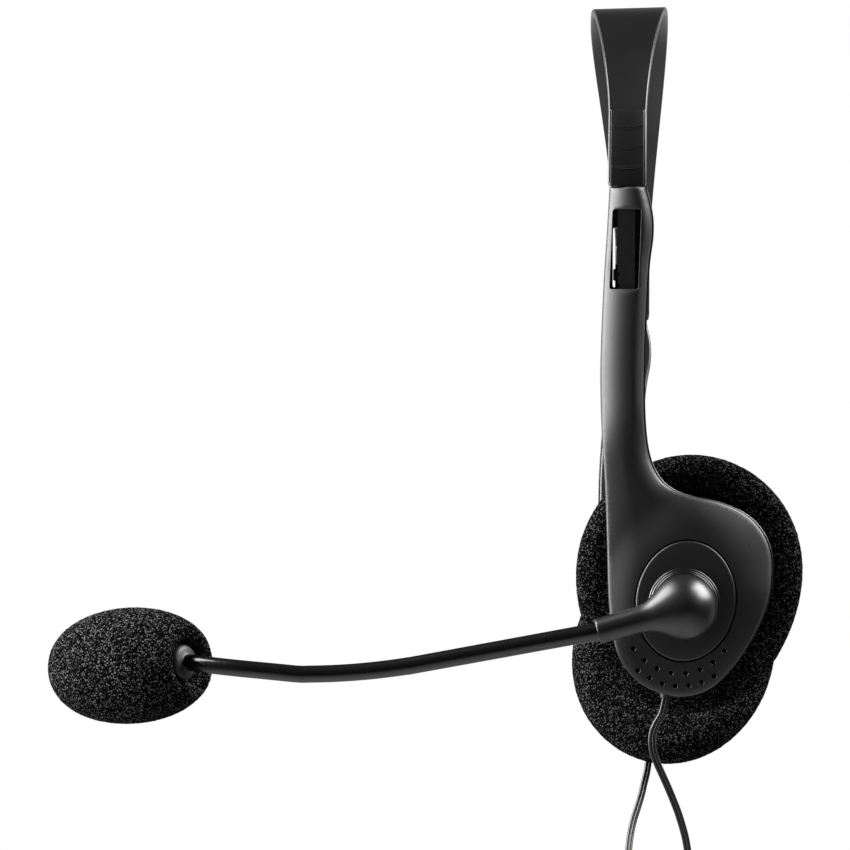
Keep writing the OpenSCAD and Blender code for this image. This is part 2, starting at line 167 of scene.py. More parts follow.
def lathe_like(rings):
    """Points and faces of a closed skin through rings of equal size, with both ends filled."""
    rings = np.asarray(rings, float)
    n, m = rings.shape[:2]
    faces = grid_faces(n, m)
    faces += [tuple(range(m))[::-1], tuple((n - 1) * m + k for k in range(m))]
    return rings.reshape(-1, 3), faces


def smooth_line(points, n):
    """Catmull-Rom curve through points, n steps between each two; the ends repeat themselves."""
    p = np.asarray(points, float)
    q = np.vstack([p[:1], p, p[-1:]])
    t = (np.arange(n) / n)[:, None]
    parts = [
        0.5 * (2 * b + (c - a) * t + (2 * a - 5 * b + 4 * c - d) * t**2 + (3 * b - a - 3 * c + d) * t**3)
        for a, b, c, d in zip(q[:-3], q[1:-2], q[2:-1], q[3:])
    ]
    return np.vstack([*parts, p[-1:]])


def even(points, n):
    """n points along a line, evenly spaced."""
    p = np.asarray(points, float)
    run = np.r_[0, np.cumsum(np.linalg.norm(np.diff(p, axis=0), axis=1))]
    at = np.linspace(0, run[-1], n)
    return np.stack([np.interp(at, run, p[:, k]) for k in range(p.shape[1])], -1)


def length_of(points):
    """Length of a line of points."""
    return float(np.linalg.norm(np.diff(points, axis=0), axis=1).sum())


def sweep(path, section, first=(0, 1, 0), twist=0.0, scale=None):
    """Rings of a flat section carried along a path without spinning; twist adds a turn over the whole."""
    p = np.asarray(path, float)
    way = np.gradient(p, axis=0)
    way /= np.linalg.norm(way, axis=1)[:, None]
    u = np.cross(way[0], first)
    rings = []
    for i, (at, w) in enumerate(zip(p, way)):
        u = u - (u @ w) * w
        u /= np.linalg.norm(u)
        v = np.cross(w, u)
        a = twist * i / (len(p) - 1)
        c, s = math.cos(a), math.sin(a)
        a0, a1 = section.T * (1.0 if scale is None else scale[i])
        rings.append(at + (a0 * c - a1 * s)[:, None] * u + (a0 * s + a1 * c)[:, None] * v)
    return np.array(rings)


def circle(r, n=32):
    """Outline of a circle."""
    a = 2 * np.pi * np.arange(n) / n
    return np.stack([r * np.cos(a), r * np.sin(a)], -1)


def lathe(profile, at, axis, n=64):
    """Closed skin of revolution: profile rows (radius, height along axis) from at, poles at radius 0."""
    axis = np.asarray(axis, float) / np.linalg.norm(axis)
    a = np.cross(axis, [0.3, 0.2, 1])
    a /= np.linalg.norm(a)
    b = np.cross(axis, a)
    spin = 2 * np.pi * np.arange(n) / n
    ring = np.cos(spin)[:, None] * a + np.sin(spin)[:, None] * b
    return lathe_like([np.asarray(at) + h * axis + max(r, 1e-3) * ring for r, h in profile])


print("mesh tools ready")

# %% [markdown]
# ## Materials
# A shader graph is easier to read as a sum than as boxes and wires, so `Socket` turns Python operators
# into Math nodes: `noise * 2 + 0.1` makes two of them. Every other node comes from `Tree.node`. Image
# textures could carry the same grain, but a pattern worked out from Object coordinates needs no unwrapped
# mesh and stays the same size on every piece.

# %% Sockets that do arithmetic
class Tree:
    """A node tree that is written from Python."""

    def __init__(self, tree):
        self.tree = tree

    def set(self, place, value):
        """Links a socket to an input, or gives the input a plain value."""
        value = value.out if isinstance(value, Socket) else value
        if isinstance(value, bpy.types.NodeSocket):
            self.tree.links.new(value, place)
        else:
            place.default_value = value

    def node(self, kind, settings=None, *values, **named):
        """A node: first its settings, then its inputs, in order or by name, as values or as links."""
        n = self.tree.nodes.new("ShaderNode" + kind)
        for key, value in (settings or {}).items():
            setattr(n, key, value)
        for place, value in zip(n.inputs, values):
            self.set(place, value)
        for key, value in named.items():
            self.set(n.inputs[key.replace("_", " ")], value)
        return n


class Socket:
    """An output in a tree. Sums and products with numbers or other sockets make Math nodes."""

    def __init__(self, tree, out):
        self.tree, self.out = tree, out

    def math(self, operation, *values):
        return Socket(self.tree, self.tree.node("Math", {"operation": operation}, *values).outputs[0])

    def __add__(self, other):
        return self.math("ADD", self, other)

    def __radd__(self, other):
        return self.math("ADD", other, self)

    def __sub__(self, other):
        return self.math("SUBTRACT", self, other)

    def __rsub__(self, other):
        return self.math("SUBTRACT", other, self)

    def __mul__(self, other):
        return self.math("MULTIPLY", self, other)

    def __rmul__(self, other):
        return self.math("MULTIPLY", other, self)

    def __pow__(self, other):
        return self.math("POWER", self, other)

    def clip(self):
        return self.math("MINIMUM", self.math("MAXIMUM", self, 0.0), 1.0)


class Paint(Tree):
    """One material: a Principled surface, with helpers that add the nodes that feed it."""

    def __init__(self, name, base, rough, **fixed):
        self.material = bpy.data.materials.new(name)
        self.material.use_nodes = True
        self.material.diffuse_color = (*base, 1)
        super().__init__(self.material.node_tree)
        self.surface = self.tree.nodes["Principled BSDF"].inputs
        for key, value in {"Base_Color": (*base, 1), "Roughness": rough, **fixed}.items():
            self.set(self.surface[key.replace("_", " ")], value)
        self.place = self.node("TexCoord").outputs["Object"]

    def noise(self, size_mm, detail=2.0):
        """Soft noise from 0 to 1 with features about size_mm across."""
        n = self.node("TexNoise", Vector=self.place, Scale=1000 / size_mm, Detail=detail)
        return Socket(self, n.outputs[0])

    def cells(self, size_mm, output="Distance"):
        """Cells about size_mm across: the distance to the middle of each, or a random colour for each."""
        n = self.node("TexVoronoi", {"feature": "F1"}, Vector=self.place, Scale=1000 / size_mm)
        return Socket(self, n.outputs[output])

    def color(self, value, dark, light):
        """Base colour between dark and light by a socket from 0 to 1."""
        n = self.node("Mix", {"data_type": "RGBA"}, Factor=value, A=(*dark, 1), B=(*light, 1))
        self.set(self.surface["Base Color"], n.outputs[2])
        return self

    def rough(self, value):
        self.set(self.surface["Roughness"], value)
        return self

    def bump(self, value, depth_mm):
        n = self.node("Bump", Height=value, Strength=1.0, Distance=depth_mm * 0.001)
        self.set(self.surface["Normal"], n.outputs[0])
        return self


def grey(v, warm=0.0):
    """A grey, or a slightly warm one."""
    return (v * (1 + warm), v, v * (1 - warm))


print("sockets and paints ready")

# %% [markdown]
# ## Plastics
# The band and the shells are moulded from black plastic, with the fine grain of their mould. It is so
# dark that what the eye sees is the soft reflection of the lights. A plain dark colour with one roughness
# looks like paint. A fine grain in the colour, the roughness and the bump breaks the reflection up, and
# each part has its own roughness, because the boom and its tube are shinier than the shells.

# %% Plastics
def satin(name, value, rough, grain_mm=0.32, depth=0.0015, **fixed):
    """Moulded plastic with a fine spark-eroded grain and a little unevenness in its sheen."""
    m = Paint(name, grey(value), rough, **fixed)
    grain, sheen = m.noise(grain_mm, 3.0), m.noise(9.0)
    m.color(grain, grey(value * 0.72), grey(value * 1.3))
    m.rough((rough - 0.05 + 0.06 * grain + 0.05 * sheen).clip())
    return m.bump(grain, depth)


band_plastic = satin("band_plastic", 0.0014, 0.34, 0.30, 0.0026)
shell_plastic = satin("shell_plastic", 0.0028, 0.46, 0.26, 0.0016)
inner_plastic = satin("inner_plastic", 0.0036, 0.36)
tongue_plastic = satin("tongue_plastic", 0.008, 0.40)
boom_plastic = satin("boom_plastic", 0.0034, 0.33, 0.22, 0.0008)
housing_plastic = satin("housing_plastic", 0.003, 0.5, 0.22, 0.001)
tube_vinyl = satin("tube_vinyl", 0.003, 0.22, 0.5, 0.0005)
cord_vinyl = satin("cord_vinyl", 0.008, 0.36, 0.45, 0.001)
print("plastics:", [p.material.name for p in (band_plastic, shell_plastic, boom_plastic, tube_vinyl)])


# %% [markdown]
# ## Foams, metals and film
# Open-cell foam swallows light, and only the struts of some cells catch it. A surface of real struts
# would take millions of faces, so the mesh is only roughened and the sparks are in the paint: a spot in
# the middle of each cell, with a random brightness that is nothing for most of them.

# %% Foams, metals and film
def foam_paint(name, cell_mm, bright):
    """Open-cell foam: near black, with a small spot of light in the middle of some cells."""
    m = Paint(name, grey(0.012), 0.8, Specular_IOR_Level=0.0)
    near, luck = m.cells(cell_mm), m.cells(cell_mm, output="Color")
    spot = (1.2 - near * 2.0).clip()
    level = ((luck - 0.12) * 1.5).clip() ** 2.4
    m.color(spot * level, grey(0.0012), grey(bright))
    return m.bump(near, 0.12)


pad_foam = foam_paint("pad_foam", 0.42, 0.085)
mic_foam = foam_paint("mic_foam", 0.42, 0.12)


def metal(name, color, rough):
    """Bare metal with a faint cloudiness in its colour and its polish."""
    m = Paint(name, color, rough, Metallic=1.0)
    grain = m.noise(0.6, 4.0)
    m.color(grain, tuple(c * 0.86 for c in color), color)
    return m.rough((rough - 0.06 + 0.14 * grain).clip())


screw_steel = metal("screw_steel", grey(0.52), 0.32)
driver_metal = metal("driver_metal", grey(0.42), 0.4)
capsule_metal = metal("capsule_metal", grey(0.6, 0.03), 0.3)
contact_nickel = metal("contact_nickel", grey(0.66, 0.02), 0.16)
film = Paint("film", (0.55, 0.48, 0.32), 0.25, Coat_Weight=0.4)
film.color(film.noise(3.0), (0.46, 0.40, 0.26), (0.58, 0.51, 0.35)).bump(film.noise(1.4), 0.02)
insulator = satin("insulator", 0.012, 0.3)
print("foams, metals and film ready")

# %% [markdown]
# ## Cords
# A twin lead of 1.7 mm leaves the foot of each cup, and the two meet in a small moulded splitter.
# From there one round lead of 3 mm runs to the plug. New headsets come with it folded and tied, so
# twelve turns lie in a tied hank and the plug lies along it. A bevelled curve would be quicker to draw,
# but it twists freely, and a section carried along the path without spinning keeps the groove of the
# twin lead in its place. Each lead hangs between its cup and the band, and is baked in place without a
# body.

# %% Leads of the two cups
LEAD_D, MAIN_D, CORD_AT = 1.7, 3.0, [9.4, 115.4, 0]
LEAD_ROUTES = {
    "left": [
        left(CORD_AT), (8.6, -49.6, -173.4), (7.3, -49, -175.6), (6.4, -48.3, -178), (6.4, -47.4, -180.8),
        (7.4, -46.4, -184), (9.1, -45.2, -187.6), (11, -43.8, -191.8), (12.8, -42, -196.4),
        (14.4, -39.6, -202.4), (15.4, -36, -212), (15.2, -30.4, -226), (14, -22.6, -244),
        (12.6, -14.4, -262), (11.6, -8, -276), (11.1, -4, -285), (11, -2, -291.6),
    ],
    "right": [
        right(CORD_AT), (5.2, 49.8, -175), (4.6, 48.9, -177.6), (4, 48, -180.4), (3.1, 47, -183.6),
        (2, 45.8, -187.4), (1.2, 44.2, -192), (0.8, 42, -198), (1, 38.8, -206), (2, 34, -217),
        (3.6, 27.6, -231), (5.4, 20, -247), (7, 12.6, -263), (8.2, 7, -276), (8.8, 3.8, -285),
        (9, 2, -291.6),
    ],
}


def twin_section(r=0.5, apart=0.37, n=32):
    """Two round cores side by side with a groove between them, as one outline."""
    a = 2 * np.pi * (np.arange(n) + 0.5) / n
    reach = apart * np.abs(np.cos(a)) + np.sqrt(r * r - (apart * np.sin(a)) ** 2)
    return np.stack([reach * np.cos(a), reach * np.sin(a)], -1)


for name, route in LEAD_ROUTES.items():
    line = even(smooth_line(route, 8), 150)
    skin, faces = lathe_like(sweep(line, twin_section(), twist=0.5))
    o = piece(name + "_lead", skin, faces, cord_vinyl.material, sharp=75, replaces=[name + "_cord"])
    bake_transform(o)
    print(name, "lead:", round(length_of(line)), "mm")

# %% Splitter
splitter_rows = [
    # height, half width, half depth
    (-290.6, 2.6, 0.7), (-291.2, 3.2, 1.3), (-292.4, 3.75, 1.9), (-295, 4.1, 2.3), (-298, 3.9, 2.4),
    (-301, 3.2, 2.3), (-303.6, 2.5, 2.15), (-305, 2.2, 2.1), (-306.4, 2.05, 2.05), (-306.8, 1.8, 1.8),
]
SPLITTER_X, turn = 10, math.radians(60)
q = 2 * np.pi * np.arange(40) / 40
corner_x, corner_y = (np.sign(w) * np.abs(w) ** 0.75 for w in (np.cos(q), np.sin(q)))
rings = []
for z, a, b in splitter_rows:
    x, y = a * corner_x, b * corner_y
    rings.append(np.stack([
        SPLITTER_X + x * math.cos(turn) - y * math.sin(turn), x * math.sin(turn) + y * math.cos(turn),
        np.full(40, z),
    ], -1))
splitter_vinyl = satin("splitter_vinyl", 0.010, 0.42)
splitter = piece(
    "splitter", *lathe_like(rings), splitter_vinyl.material, "band", replaces=["cord_splitter"]
)
print("splitter:", len(rings), "rings of", len(q))

# %% Main lead and its hank
HANK_X, HANK_Z, HALF_STRAIGHT = 10.0, -351.0, 18.0
TURNS = [13.5, 10.5, 7.5]
LAYERS = [4.8, 1.6, -1.6, -4.8]
FRONT_LAYER = 8.2
turns = [(r, y) for k, y in enumerate(LAYERS) for r in (TURNS if k % 2 == 0 else TURNS[::-1])]


def ease(t):
    """Smooth step from 0 to 1: 3t^2 - 2t^3."""
    t = np.clip(t, 0, 1)
    return t * t * (3 - 2 * t)


def hank_line():
    """Down the front straight, round the bottom, up the back straight, round the top, turn after turn.
    Radius and layer change only along the front straight, so neighbouring turns keep their distance."""
    points = []
    was = (turns[0][0], FRONT_LAYER)
    for r, y in turns:
        for t in np.linspace(0, 1, 10, endpoint=False):
            k = ease(t)
            points.append((HANK_X - (was[0] + (r - was[0]) * k), was[1] + (y - was[1]) * k,
                           HANK_Z + HALF_STRAIGHT * (1 - 2 * t)))
        for a in np.linspace(0, np.pi, 16, endpoint=False):
            points.append((HANK_X - r * math.cos(a), y, HANK_Z - HALF_STRAIGHT - r * math.sin(a)))
        if (r, y) == turns[-1]:
            break
        for t in np.linspace(0, 1, 8, endpoint=False):
            points.append((HANK_X + r, y, HANK_Z - HALF_STRAIGHT * (1 - 2 * t)))
        for a in np.linspace(0, np.pi, 16, endpoint=False):
            points.append((HANK_X + r * math.cos(a), y, HANK_Z + HALF_STRAIGHT + r * math.sin(a)))
        was = (r, y)
    return points


PLUG_AT = np.array([10, -10.5, -336.0])
LAST_RISE = 40
last_r, last_y = turns[-1]
entry = [
    (HANK_X - TURNS[0] * ease(t), FRONT_LAYER * ease(1.15 * t), -306 - 27 * t)
    for t in np.linspace(0, 1, 14, endpoint=False)
]
leave = [
    (HANK_X + last_r, last_y + (PLUG_AT[1] - last_y) * ease((t - 0.42) / 0.5),
     HANK_Z - HALF_STRAIGHT + LAST_RISE * t)
    for t in np.linspace(0, 1, 16, endpoint=False)
]
half, over_z = last_r / 2, HANK_Z - HALF_STRAIGHT + LAST_RISE
over = [
    (HANK_X + half + half * math.cos(a), PLUG_AT[1], over_z + half * math.sin(a))
    for a in np.linspace(0, np.pi, 12)
]
into_plug = [tuple(PLUG_AT + [0, 0, 2]), tuple(PLUG_AT - [0, 0, 2])]
main_line = np.array(entry + hank_line() + leave + over[:-1] + into_plug)
main_line = even(smooth_line(main_line, 3), 1500)
main_skin, main_faces = lathe_like(sweep(main_line, circle(MAIN_D / 2, 14)))
main_lead = piece(
    "main_lead", main_skin, main_faces, cord_vinyl.material, "band", sharp=60,
    replaces=["main_cord", "cord_hank", "cord_tail"],
)
print("main lead:", round(length_of(main_line)), "mm in", len(turns), "turns")

# %% [markdown]
# ## Plug and tie
# The plug is turned metal in a moulded grip, so both are skins of revolution: a table of radii and
# heights is easier to check against a drawing than a pile of cylinders. The grooves of the strain relief
# are rows of that table. The tie is a thin ring of vinyl drawn round all the turns.

# %% Plug and tie
down = (0, 0, -1)
grip_rows = [(1.5, -0.6), (1.9, -0.4), (2.05, 0)]
for h in 0.9 + 1.1 * np.arange(4):
    grip_rows += [(2.1, h), (1.75, h + 0.2), (1.75, h + 0.55), (2.2, h + 0.75)]
grip_rows += [(2.5, 5.6), (2.9, 6.3), (3.0, 6.8)]
for h in 8.0 + 1.3 * np.arange(5):
    grip_rows += [(3.0, h), (2.82, h + 0.15), (2.82, h + 0.5), (3.0, h + 0.65)]
grip_rows += [(3.0, 16.6), (2.85, 17.2), (2.5, 17.6), (1.4, 17.6)]
plug_vinyl = satin("plug_vinyl", 0.011, 0.36)
plug_grip = piece(
    "plug_grip", *lathe(grip_rows, PLUG_AT, down, 48), plug_vinyl.material, "band", 50, ["plug_body"]
)
pin_rows = [
    (1.0, 17.5), (2.1, 17.5), (2.1, 18.1), (1.72, 18.2), (1.75, 18.3), (1.75, 22.6), (1.68, 22.65),
    (1.68, 23.25), (1.75, 23.3), (1.75, 26.2), (1.68, 26.25), (1.68, 26.85), (1.75, 26.9), (1.75, 28.6),
    (1.3, 29.3), (1.24, 29.6), (1.7, 30.5), (1.55, 31.0), (1.0, 31.6), (0.3, 31.8), (0, 31.8),
]
plug_contacts = piece(
    "plug_contacts", *lathe(pin_rows, PLUG_AT, down, 48), contact_nickel.material, "band",
    replaces=["plug_pin"],
)
for k, at in enumerate((22.65, 26.25)):
    rows = [(1.2, at), (1.755, at), (1.755, at + 0.6), (1.2, at + 0.6)]
    piece(f"plug_ring_{k + 1}", *lathe(rows, PLUG_AT, down, 48), insulator.material, "band")


def rounded(w, h, r, n=6):
    """Closed outline of a rectangle w by h with corners of radius r."""
    return np.array([
        (cx * (w / 2 - r) + r * math.cos(a0 + q), cy * (h / 2 - r) + r * math.sin(a0 + q))
        for cx, cy, a0 in ((1, 1, 0), (-1, 1, np.pi / 2), (-1, -1, np.pi), (1, -1, 1.5 * np.pi))
        for q in np.linspace(0, np.pi / 2, n)
    ])


def band_ring(outer, inner, z0, z1, bevel):
    """A closed ring between two outlines of equal count, with a small bevel on its outer edges.
    Scaling the outer outline by 1 - bevel / 16 draws it in by about the bevel at half its width."""
    rows = [(inner, z0), (outer * (1 - bevel / 16), z0), (outer, z0 + bevel), (outer, z1 - bevel),
            (outer * (1 - bevel / 16), z1), (inner, z1)]
    points = np.vstack([np.c_[loop, np.full(len(loop), z)] for loop, z in rows])
    m = len(outer)
    faces = grid_faces(6, m) + [(5 * m + c, 5 * m + (c + 1) % m, (c + 1) % m, c) for c in range(m)]
    return points, faces


tie_points, tie_faces = band_ring(rounded(32.2, 15.2, 3.2), rounded(30, 13, 2.2), -1.8, 1.8, 0.35)
tie_vinyl = satin("tie_vinyl", 0.009, 0.3)
tie_points = tie_points + [HANK_X, 0, HANK_Z]
tie = piece("tie", tie_points, tie_faces, tie_vinyl.material, "band", replaces=["cord_tie"])
print("plug: pin", len(pin_rows), "rows, grip", len(grip_rows), "rows")

# %% End of the cords
print("cords done")

# %% [markdown]
# ## Shells of the cups
# Each shell half is a plate over one flat outline, with a rounded rim, a crowned face and real holes.
# A Boolean would cut the holes too, but it leaves long thin faces that spoil a soft reflection. So the
# rim rows follow the outline, and the face between the rim and the holes is filled by a constrained
# triangulation over evenly spread points, each of them lifted to the height that a formula gives.

# %% Plate tool
def inward(loop):
    """Unit normals of a closed loop that point to its inside."""
    d = np.roll(loop, -1, 0) - np.roll(loop, 1, 0)
    n = np.stack([-d[:, 1], d[:, 0]], -1) / np.linalg.norm(d, axis=1)[:, None]
    x, y = loop.T
    area = (x * np.roll(y, -1) - np.roll(x, -1) * y).sum()
    return n if area > 0 else -n


def gap_to(points, loop):
    """Distance from points to a closed loop."""
    a, b = loop[None], np.roll(loop, -1, 0)[None]
    p, d = points[:, None], b - a
    t = np.clip(((p - a) * d).sum(-1) / (d * d).sum(-1), 0, 1)
    return np.linalg.norm(p - a - t[..., None] * d, axis=-1).min(1)


def inside(points, loop):
    """Whether points lie inside a closed loop, by counting crossings."""
    (x, y), (x0, y0) = points.T[:, :, None], loop.T[:, None]
    x1, y1 = np.roll(loop, -1, 0).T[:, None]
    with np.errstate(divide="ignore", invalid="ignore"):
        cross = ((y0 > y) != (y1 > y)) & (x < (x1 - x0) * (y - y0) / (y1 - y0) + x0)
    return cross.sum(1) % 2 == 1


def fill(outer, holes, spare=()):
    """Triangles between an outer loop and holes; spare points go inside. Returns index triples."""
    loops = [outer, *holes]
    every = np.vstack([*loops, spare]) if len(spare) else np.vstack(loops)
    edges, at = [], 0
    for loop in loops:
        edges += [(at + k, at + (k + 1) % len(loop)) for k in range(len(loop))]
        at += len(loop)
    _, _, tris, origin, _, _ = delaunay_2d_cdt([Vector(p) for p in every], edges, [], 1, 1e-7, True)
    tris = np.array([[origin[i][0] for i in t] for t in tris])
    middle = every[tris].mean(1)
    keep = inside(middle, outer)
    for hole in holes:
        keep &= ~inside(middle, hole)
    return tris[keep]


def plate(loop, rim, face, holes=(), under=0.0, spacing=0.8):
    """Closed plate over a loop. rim: rows (inward offset, height) from the back edge to the face.
    face(points) is the face's height. holes: (loop, floor height or None for right through, bevel)."""
    points, faces, n = [], [], inward(loop)

    def ring(xy, h):
        at = sum(len(p) for p in points)
        points.append(np.c_[xy, np.broadcast_to(h, len(xy))])
        return range(at, at + len(xy))

    def wall(a, b):
        m = len(a)
        faces.extend((a[k], a[(k + 1) % m], b[(k + 1) % m], b[k]) for k in range(m))

    rows = [ring(loop + n * np.broadcast_to(off, len(loop))[:, None], h) for off, h in rim]
    for a, b in zip(rows[:-1], rows[1:]):
        wall(a, b)
    edge = points[len(rim) - 1][:, :2]
    tops, through = [], []
    for hole, floor_h, bevel in holes:
        m = inward(hole)
        wide, height = hole - m * bevel, face(hole)
        top, lower = ring(wide, face(wide)), ring(hole, height - bevel)
        wall(top, lower)
        bottom = ring(hole, under if floor_h is None else floor_h)
        wall(lower, bottom)
        tops.append((top, wide))
        if floor_h is None:
            through.append((bottom, hole))
        else:
            faces.append(tuple(bottom))
    low, high = edge.min(0), edge.max(0)
    gx, gy = np.meshgrid(np.arange(low[0], high[0], spacing), np.arange(low[1], high[1], spacing * 0.866))
    gx = gx + spacing / 2 * (np.arange(len(gx)) % 2)[:, None]
    spare = np.stack([gx.ravel(), gy.ravel()], -1)
    spare = spare[inside(spare, edge)]
    spare = spare[gap_to(spare, edge) > spacing * 0.4]
    for _, wide in tops:
        spare = spare[~inside(spare, wide)]
        spare = spare[gap_to(spare, wide) > spacing * 0.4]
    extra = ring(spare, face(spare))
    index = np.array([*rows[-1], *(i for top, _ in tops for i in top), *extra])
    faces.extend(tuple(index[t]) for t in fill(edge, [w for _, w in tops], spare))
    index = np.array([*rows[0], *(i for bottom, _ in through for i in bottom)])
    faces.extend(tuple(index[t][::-1]) for t in fill(points[0][:, :2], [h for _, h in through]))
    return np.vstack(points), [tuple(int(i) for i in f) for f in faces]


def oval(cx, cs, w, h, n=96):
    """An upright oval whose upper end leans a little to the back."""
    a = 2 * np.pi * np.arange(n) / n
    return np.stack([cx + w / 2 * np.cos(a) - 0.039 * h / 2 * np.sin(a), cs + h / 2 * np.sin(a)], -1)


print("plate tool ready")

# %% [markdown]
# ## Shape of the outer shell
# On the real cup the stem is a rounded ridge that flows into a broad teardrop, and the teardrop's edge
# falls away most at its back upper corner. Modelling it by hand with subdivision would give lumps. Here
# the rim carries how wide and how deep it falls at each place, and the face blends what is nearest.

# %% Outline of the cup
# Rows are x, way down the stem, and the rim there: how wide its round-over is and how far it falls.
OUTLINE = np.array([
    (-4, 0.2, 4, 1), (-4.5, 10, 4, 1), (-5.2, 22, 4, 1), (-5.8, 40, 4, 1), (-5.5, 54, 5, 1.2),
    (-4.6, 68, 7, 1.4), (-4.1, 80, 7.5, 1.2), (-3.6, 94, 7, 0.9),
    (-2.2, 103.5, 4, 0.6), (0.5, 109, 2.5, 0.4), (5, 113, 2, 0.3), (12, 115, 2, 0.3), (18.5, 113.6, 2, 0.3),
    (24, 108.6, 3, 0.5), (29, 101, 6, 1.0), (32.2, 93, 9, 1.8),
    (33, 85, 14, 3.3), (31.5, 79, 16, 3.8), (27.5, 74.2, 14, 3.7), (21, 71.2, 10, 2.7),
    (14.5, 69.8, 6.5, 1.9), (10, 68, 5.2, 1.7), (7, 65, 4.8, 1.7), (5, 60, 4.6, 1.7), (4.1, 53, 4.4, 1.6),
    (3.9, 44, 4, 1), (4.2, 30, 4, 1), (4.8, 18, 4, 1), (5.6, 11, 4, 1), (5.4, 6, 4, 1),
    (4, 0.2, 4, 1),
])
edge = smooth_line(OUTLINE, 8)
cross_top = np.array([(4 - 8 * t, 0.2, 4, 1) for t in np.arange(1, 8) / 8])
edge = np.vstack([edge, cross_top])
shell_loop, shell_round, shell_fall = edge[:, :2], edge[:, 2], edge[:, 3]
FRONT = smooth_line(OUTLINE[:9], 8)[:, 1::-1]
BACK = smooth_line(OUTLINE[24:], 8)[::-1, 1::-1]
OVAL_X, OVAL_S, OVAL_W, OVAL_H = 13.7, 93.4, 22.9, 27.6
print("cup outline:", len(shell_loop), "points,", round(length_of(shell_loop)), "mm round")


def foot_drop(s):
    """How far the face has bent back towards its lower end, on a circle of 170 mm."""
    return np.maximum(0, s - 90) ** 2 / (2 * 170)


def shell_face(p):
    """Height of the outer face. The stem is a rounded ridge, three quarters of the way across, that bends
    back towards the band's end. The teardrop falls away at its rim by the square of the nearness, with a
    seat round the oval plate that ramps up from the front edge, and bends back towards its foot."""
    p = np.asarray(p, float)
    x, s = p.T
    near = 1 / (((p[:, None] - shell_loop[None]) ** 2).sum(-1) + 0.3) ** 2
    near /= near.sum(1)[:, None]
    width, fall = near @ shell_round, near @ shell_fall
    rim = fall * (1 - np.clip(gap_to(p, shell_loop) / width, 0, 1)) ** 2
    rho = np.hypot((x - OVAL_X) / 12, (s - OVAL_S) / 14.5)
    seat = ease((1.62 - rho) / 0.72)
    for more in (ease((s - 92) / 14), ease((x - 6) / 12)):
        seat = seat + (1 - seat) * more
    cup = 4.1 + 1.15 * seat - rim
    front, back, ridge = np.interp(s, *FRONT.T), np.interp(s, *BACK.T), 0.74
    across = (x - front) / (back - front)
    stem = 4.9 - 1.1 * np.maximum(0, 1 - s / 42) ** 2
    stem = stem - 3.1 * np.maximum(0, 1 - across / ridge) ** 2
    stem = stem - 1.6 * np.maximum(0, (across - ridge) / (1 - ridge)) ** 2
    return stem + (cup - stem) * ease((s - 48) / 16) - foot_drop(s)


# %% Outer shells
window = rounded(6.4, 18, 0.5, 5) + [-0.25, 14.3]
window[:, 0] -= 0.034 * (window[:, 1] - 14.3)
vents = [
    (12.4 + w * math.cos(math.radians(a)), 94 + h * math.sin(math.radians(a)))
    for w, h, first, step, count in ((13.5, 15.8, 42, 14, 9), (16, 18.6, 61, 10.8, 7))
    for a in first + step * np.arange(count)
]
shell_holes = [(window, None, 0.12), (oval(OVAL_X, OVAL_S, OVAL_W, OVAL_H), 3.0, 0.12)]
shell_holes += [(circle(0.53, 18) + v, 1.6, 0.1) for v in vents]
EDGE_R = 0.55
shell_rim = [(0.16, 0.0), (0.0, 0.16)]
for a in np.radians([0, 20, 40, 60, 78]):
    off = EDGE_R * (1 - math.cos(a))
    height = shell_face(shell_loop + inward(shell_loop) * off) - EDGE_R * (1 - math.sin(a))
    shell_rim.append((off, height))
shell_points, shell_faces = plate(shell_loop, shell_rim, shell_face, shell_holes, spacing=0.7)
print("outer shell:", len(shell_points), "points, lowest rim", round(float(shell_rim[2][1].min()), 2))

# %% [markdown]
# ## Inner shells and oval plates
# The inner half is a plain plate behind the same outline, and it is made by the same tool with a flat
# face, then turned over. The oval plate sits in a pocket of the outer shell, a hair's breadth smaller
# all round, because the dark line between two parts is what makes a moulding look assembled.

# %% Inner shells
slot = rounded(1.1, 13.5, 0.4, 5) + [-2.6, 16.05]
inner_loop = shell_loop + [0.45, 0]
INNER_T, FILLET_R = 3.2, 0.6
fillet = [
    (FILLET_R * (1 - math.cos(a)), INNER_T - FILLET_R * (1 - math.sin(a)))
    for a in np.radians(range(0, 91, 15))
]
inner_points, inner_faces = plate(
    inner_loop, [(0.12, 0.0), (0.0, 0.12), *fillet], lambda p: np.full(len(p), INNER_T),
    [(slot, None, 0.08)], spacing=2.5,
)
inner_points = inner_points * [1, 1, -1]


def oval_rings(rows, cx, cs, n=96):
    """Closed skin through ovals (width, height, h), all with one middle."""
    rings = [oval(cx, cs, w, h, n) for w, h, _ in rows]
    return lathe_like([np.c_[ring, z - foot_drop(ring[:, 1])] for ring, (_, _, z) in zip(rings, rows)])


PLATE_W, PLATE_H = OVAL_W - 0.5, OVAL_H - 0.5
plate_rows = [(20, 24.7, 3.95), (PLATE_W, PLATE_H, 3.95), (PLATE_W, PLATE_H, 5.1)]
plate_rows += [
    (PLATE_W - 1.1 * (1 - math.cos(a)), PLATE_H - 1.1 * (1 - math.cos(a)), 5.1 + 0.42 * math.sin(a))
    for a in np.linspace(0, np.pi / 2, 6)[1:]
]
plate_rows += [(18, 22, 5.58), (10, 13, 5.62), (2, 3, 5.63)]
plate_points, plate_faces = oval_rings(plate_rows, OVAL_X, OVAL_S)

for name, put in SIDES.items():
    body = name + "_cup"
    o = piece(name + "_shell_face", put(shell_points), shell_faces, shell_plastic.material, body, 38,
              [name + "_outer_shell"])
    o = piece(name + "_shell_back", put(inner_points), inner_faces, inner_plastic.material, body, 38,
              [name + "_inner_shell"])
    o = piece(name + "_oval", put(plate_points), plate_faces, shell_plastic.material, body, 38,
              ["left_boom_plate" if name == "left" else "right_oval_plate"])
print("shells and oval plates done")

